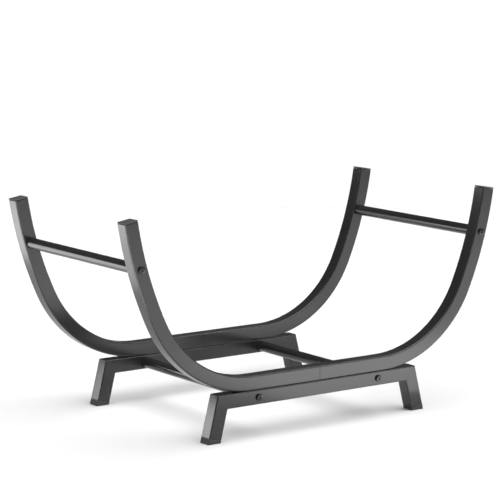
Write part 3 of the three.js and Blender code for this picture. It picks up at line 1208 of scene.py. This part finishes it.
@dataclass(frozen=True)
class RoundHeadBolt:
    """Low round-head bolt with a hexagon socket, its head's underside on Z = 0 and its shank along +Z."""

    shank_length: float
    diameter: float = 0.006
    head_diameter: float = 0.0115
    head_height: float = 0.0033
    rim: float = 0.0029
    eased: float = 0.00015
    seat_chamfer: float = 0.0002
    tip_chamfer: float = 0.0006
    land: float = 0.00288  # radius of the flat round the socket
    socket_flats: float = 0.004
    socket_depth: float = 0.002
    socket_taper: float = 0.98
    drill_radius: float = 0.0006
    drill_depth: float = 0.0004
    mouth_widening: float = 0.06
    mouth_depths: tuple[float, float] = (0.0004, 0.00015)
    sides: int = 48
    crown_steps: int = 6

    def hexagon(self, share: float) -> list[float]:
        """Works out the socket's outline.

        Args:
            share: Its size, as a share of the socket's.

        Returns:
            The radius of each of the bolt's points.
        """
        sixth = math.pi / 3
        turns = [2 * math.pi * side / self.sides for side in range(self.sides)]
        return [share * self.socket_flats / 2 / math.cos((t + sixth / 2) % sixth - sixth / 2) for t in turns]

    def stations(self) -> Iterable[tuple[list[float], float, float]]:
        """Works out the rings, from the bottom of the socket to the tip of the shank.

        Returns:
            The radius of each point, the height and the edge value of each ring.
        """
        top = -self.head_height
        head, shank = self.head_diameter / 2, self.diameter / 2
        socket, mouth = self.hexagon(1.0), self.hexagon(1.0 + self.mouth_widening)
        first, second = self.mouth_depths
        yield [self.drill_radius] * self.sides, top + self.socket_depth + self.drill_depth, 0.0
        yield self.hexagon(self.socket_taper), top + self.socket_depth, 0.0
        yield socket, top + first, 0.0
        yield socket, top + second, 0.6
        yield mouth, top, 1.0
        yield [max(self.land, radius) for radius in self.hexagon(1.1)], top, 0.4
        for step in range(1, self.crown_steps + 1):
            share = step / self.crown_steps
            radius = self.land + (head - self.eased - self.land) * share
            yield [radius] * self.sides, top + (self.head_height - self.rim) * share**2, 0.0
        for radius, height, edge in (
            (head, self.eased - self.rim, 0.2),
            (head, -self.seat_chamfer, 0.0),
            (head - self.seat_chamfer, 0.0, 0.0),
            (shank, 0.0, 0.0),
            (shank, self.shank_length - self.tip_chamfer, 0.0),
            (shank - self.tip_chamfer, self.shank_length, 1.0),
        ):
            yield [radius] * self.sides, height, edge

    def mesh(self) -> bpy.types.Mesh:
        """Makes the bolt.

        Returns:
            The bolt's mesh.
        """
        skin = Skin()
        ways = circle(1.0, self.sides)
        rings = []
        for radii, height, edge in self.stations():
            points = [Vector((r * x, r * y, height)) for r, (x, y) in zip(radii, ways, strict=True)]
            rings.append(skin.ring(points, [edge] * self.sides))
        skin.skin(rings)
        return skin.mesh("round_head_bolt")


@dataclass(frozen=True)
class BoltSet:
    """Bolts of one kind, set in place by Geometry Nodes and each turned as it was left."""

    name: str
    nodes: tuple[str, ...]
    seed: int = 7

    def seats(self) -> list[tuple[Vector, Vector]]:
        """Reads where each bolt sits: bar bolts point inwards along Y, cradle bolts point up.

        Returns:
            The middle of each head's underside and the direction of its shank.
        """
        found = []
        for node in self.nodes:
            low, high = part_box(node)
            size, middle = high - low, (low + high) / 2
            if size.y > size.z:
                length, along = size.y, Vector((0, -math.copysign(1.0, middle.y), 0))
            else:
                length, along = size.z, Vector((0, 0, 1))
            crown = middle - along * (length / 2)
            found.append((crown + along * RoundHeadBolt.head_height, along))
        return found

    def shank_length(self) -> float:
        """Length of the shank below the head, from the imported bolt."""
        low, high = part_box(self.nodes[0])
        return max(high - low) - RoundHeadBolt.head_height

    def build(self, plating: bpy.types.Material) -> None:
        """Adds every bolt of the set as one piece.

        Args:
            plating: Finish of the bolts.
        """
        seats = self.seats()
        points = bpy.data.meshes.new("bolt_seats")
        points.from_pydata([tuple(seat) for seat, _ in seats], [], [])
        axes = points.attributes.new("axis", "FLOAT_VECTOR", "POINT")
        axes.data.foreach_set("vector", [value for _, along in seats for value in along])
        pattern = bpy.data.objects.new("bolt_pattern", RoundHeadBolt(self.shank_length()).mesh())
        shape = NodeShape("set_bolts", {
            "Bolt": ("Object", pattern),
            "Seed": ("Int", self.seed),
            "Plating": ("Material", plating),
        })
        graph = shape.graph
        axis = graph.add("GeometryNodeInputNamedAttribute", {"data_type": "FLOAT_VECTOR"}, Name="axis")
        aimed = graph.add(
            "FunctionNodeAlignRotationToVector", {"axis": "Z"}, Vector=axis.outputs["Attribute"]
        ).outputs[0]
        twist = graph.add(
            "FunctionNodeRandomValue",
            {"data_type": "FLOAT"},
            Min=0.0,
            Max=math.pi / 3,
            Seed=shape.value("Seed"),
        )
        angle = next(socket for socket in twist.outputs if socket.enabled)
        spin = graph.add("FunctionNodeAxisAngleToRotation", Axis=(0, 0, 1), Angle=angle).outputs[0]
        turned = graph.add(
            "FunctionNodeRotateRotation", {"rotation_space": "LOCAL"}, Rotation=aimed, Rotate_By=spin
        ).outputs[0]
        bolt = graph.add("GeometryNodeObjectInfo", Object=shape.value("Bolt")).outputs["Geometry"]
        placed = graph.add(
            "GeometryNodeInstanceOnPoints", Points=shape.value("Geometry"), Instance=bolt, Rotation=turned
        ).outputs[0]
        shape.close(placed, shape.value("Plating"))
        mesh = shape.run(points)
        bpy.data.objects.remove(pattern)
        add_piece(self.name, mesh, Slot.BOLT_STEEL, self.nodes)


@dataclass(frozen=True)
class Softbox:
    """A large soft lamp, out of the camera's sight."""

    name: str
    middle: tuple[float, float, float]
    facing: tuple[float, float, float]
    width: float
    height: float
    radiance: float
    turn: float = 0.0  # in degrees, about the way it faces

    def build(self) -> None:
        """Adds the lamp, so bright that its face has the given radiance."""
        data = bpy.data.lights.new(self.name, "AREA")
        data.shape = "RECTANGLE"
        data.size, data.size_y = self.width, self.height
        data.energy = self.radiance * math.pi * self.width * self.height
        lamp = bpy.data.objects.new(self.name, data)
        bpy.context.scene.collection.objects.link(lamp)
        lamp.location = self.middle
        lamp.rotation_mode = "QUATERNION"
        spin = Quaternion((0, 0, 1), math.radians(self.turn))
        lamp.rotation_quaternion = Vector(self.facing).to_track_quat("-Z", "Y") @ spin
        lamp.visible_camera = False


@dataclass(frozen=True)
class Viewpoint:
    """Where the camera stands and what it looks at."""

    azimuth: float = -35.53
    elevation: float = 8.96
    distance: float = 3.83357
    aim: tuple[float, float, float] = (-0.00685, 0.00489, 0.27945)
    lens: float = 156.34

    def build(self) -> None:
        """Adds the camera."""
        data = bpy.data.cameras.new("camera")
        data.lens = self.lens
        camera = bpy.data.objects.new("camera", data)
        bpy.context.scene.collection.objects.link(camera)
        back = direction(self.azimuth, self.elevation)
        camera.location = Vector(self.aim) + back * self.distance
        camera.rotation_mode = "QUATERNION"
        camera.rotation_quaternion = (-back).to_track_quat("-Z", "Y")
        bpy.context.scene.camera = camera


@dataclass(frozen=True)
class Studio:
    """Pale floor, soft lamps and a white surround."""

    floor_radius: float = 2.6
    floor_sides: int = 96
    floor_drop: float = 0.0002
    floor_colour: Colour = (0.86, 0.86, 0.86)
    floor_mottle: float = 0.01
    floor_mottle_size: float = 0.4
    floor_roughness: float = 0.7
    zenith: float = 3.7
    horizon: float = 0.1
    seen: float = 1.0  # strength of the surround itself, behind the rack
    dome_edge: float = 0.815  # cosine of the angle from the dome's middle to its soft edge
    dome_softness: float = 0.12
    dome_middle: tuple[float, float, float] = (0.16, -0.26, 0.95)
    lamps: tuple[Softbox, ...] = (
        Softbox("left_table", (-1.08, 0.48, 0.004), (0, 0, 1), 1.04, 0.42, 2.1),
        Softbox("rear_table", (-1.08, 1.11, 0.004), (0, 0, 1), 1.04, 0.84, 3.4),
        Softbox("rear_left_strip", (-1.82, 1.67, 0.28), (0.58, -0.81, 0), 1.14, 0.52, 5.6),
        Softbox("front_table", (1.475, -1.925, 0.004), (0, 0, 1), 3.05, 2.95, 1.02),
        Softbox("near_table", (0.35, -0.495, 0.005), (0, 0, 1), 0.61, 0.49, 2.35),
        Softbox("corner_table", (-1.57, -0.93, 0.004), (0, 0, 1), 2.3, 0.4, 8.0, turn=-30.0),
    )

    def build(self) -> None:
        """Adds the floor, the lamps and the surround."""
        self.add_floor()
        for lamp in self.lamps:
            lamp.build()
        self.add_surround()
        bpy.context.scene.view_settings.view_transform = "Standard"

    def add_floor(self) -> None:
        """Adds a round pale floor under the rack."""
        bm = bmesh.new()
        bmesh.ops.create_circle(bm, cap_ends=True, radius=self.floor_radius, segments=self.floor_sides)
        mesh = bpy.data.meshes.new("floor")
        bm.to_mesh(mesh)
        bm.free()
        mesh.transform(Matrix.Translation((0, 0, -self.floor_drop)))
        made, graph, place = new_material("pale_floor")
        cloud = noise(graph, place, self.floor_mottle_size, detail=2.0)
        colour = tint(graph, self.floor_colour, self.floor_mottle, cloud)
        surface(graph, Base_Color=colour, Roughness=self.floor_roughness, Specular_IOR_Level=0.0)
        mesh.materials.append(made)
        floor = bpy.data.objects.new("floor", mesh)
        bpy.context.scene.collection.objects.link(floor)
        floor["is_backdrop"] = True

    def add_surround(self) -> None:
        """Adds a soft light from high above, in a surround that looks white."""
        world = bpy.data.worlds.new("surround")
        world.use_nodes = True
        world.node_tree.nodes.clear()
        graph = Graph(world.node_tree)
        towards = graph.add("ShaderNodeTexCoord").outputs["Generated"]
        middle = Vector(self.dome_middle).normalized()
        near = graph.add("ShaderNodeVectorMath", {"operation": "DOT_PRODUCT"}, i0=towards, i1=middle)
        dome = graph.add(
            "ShaderNodeMapRange",
            {"interpolation_type": "SMOOTHSTEP"},
            Value=near.outputs["Value"],
            From_Min=self.dome_edge - self.dome_softness,
            From_Max=self.dome_edge + self.dome_softness,
            To_Min=self.horizon,
            To_Max=self.zenith,
        ).outputs[0]
        direct = graph.add("ShaderNodeLightPath").outputs["Is Camera Ray"]
        strength = graph.add("ShaderNodeMix", {"data_type": "FLOAT"}, Factor=direct, A=dome, B=self.seen)
        background = graph.add(
            "ShaderNodeBackground", Color=(1, 1, 1, 1), Strength=strength.outputs[0]
        ).outputs[0]
        graph.add("ShaderNodeOutputWorld", Surface=background)
        bpy.context.scene.world = world


def direction(azimuth: float, elevation: float) -> Vector:
    """Finds the way from the rack towards a viewpoint.

    Args:
        azimuth: Angle round the rack in degrees, 0 in front.
        elevation: Angle above the floor in degrees.

    Returns:
        The unit vector.
    """
    a, e = math.radians(azimuth), math.radians(elevation)
    return Vector((math.sin(a) * math.cos(e), -math.cos(a) * math.cos(e), math.sin(e)))


@dataclass
class LogRack:
    """The whole rack: two cradles on two bases, four bars and their bolts."""

    paint: PowderCoat = PowderCoat()
    plastic: MouldedPlastic = MouldedPlastic()
    black_plating: PlatedSteel = PlatedSteel(
        "black_bolt",
        colour=(0.009, 0.009, 0.0095),
        rubbed_colour=(0.04, 0.04, 0.042),
        metallic=0.0,
        roughness=0.14,
    )
    zinc_plating: PlatedSteel = PlatedSteel(
        "dull_zinc",
        colour=(0.3, 0.305, 0.315),
        rubbed_colour=(0.5, 0.51, 0.52),
        metallic=1.0,
        roughness=0.42,
    )

    def build(self) -> None:
        """Builds and dresses every piece."""
        paint, plastic = self.paint.material(), self.plastic.material()
        for end in End:
            Cradle(end).build(paint, plastic)
            BaseFrame(end).build(paint, plastic)
        bars = [f"{level.value}_{side.value}_bar" for level in Level for side in Side]
        for bar in bars:
            CrossBar(bar).build(paint)
        plating = self.black_plating.material()
        bar_bolts = tuple(f"{bar}_{end.value}_bolt" for bar in bars for end in End)
        cradle_bolts = tuple(f"{end.value}_{side.value}_cradle_bolt" for end in End for side in Side)
        BoltSet("bar_bolts", bar_bolts).build(plating)
        BoltSet("cradle_bolts", cradle_bolts, seed=11).build(plating)
        self.dress_inner_parts()

    def dress_inner_parts(self) -> None:
        """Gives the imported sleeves, nuts and inserts their zinc."""
        zinc = self.zinc_plating.material()
        for name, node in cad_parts.items():
            if name.endswith(("_sleeve", "_nut", "_insert")):
                node.data.materials.clear()
                node.data.materials.append(zinc)
                LOG.info("%s: packed node in %s", name, zinc.name)


def write_sizes() -> None:
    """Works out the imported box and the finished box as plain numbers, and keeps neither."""
    boxes = {"cad": CAD_BOX, "visual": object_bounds()}
    {name: [list(corner) for corner in box] for name, box in boxes.items()}


def main() -> None:
    """Builds the camera, the studio and the rack."""
    logging.basicConfig(level=logging.INFO, format="%(name)s: %(message)s")
    Viewpoint().build()
    Studio().build()
    LogRack().build()
    write_sizes()


if __name__ == "__main__":
    main()
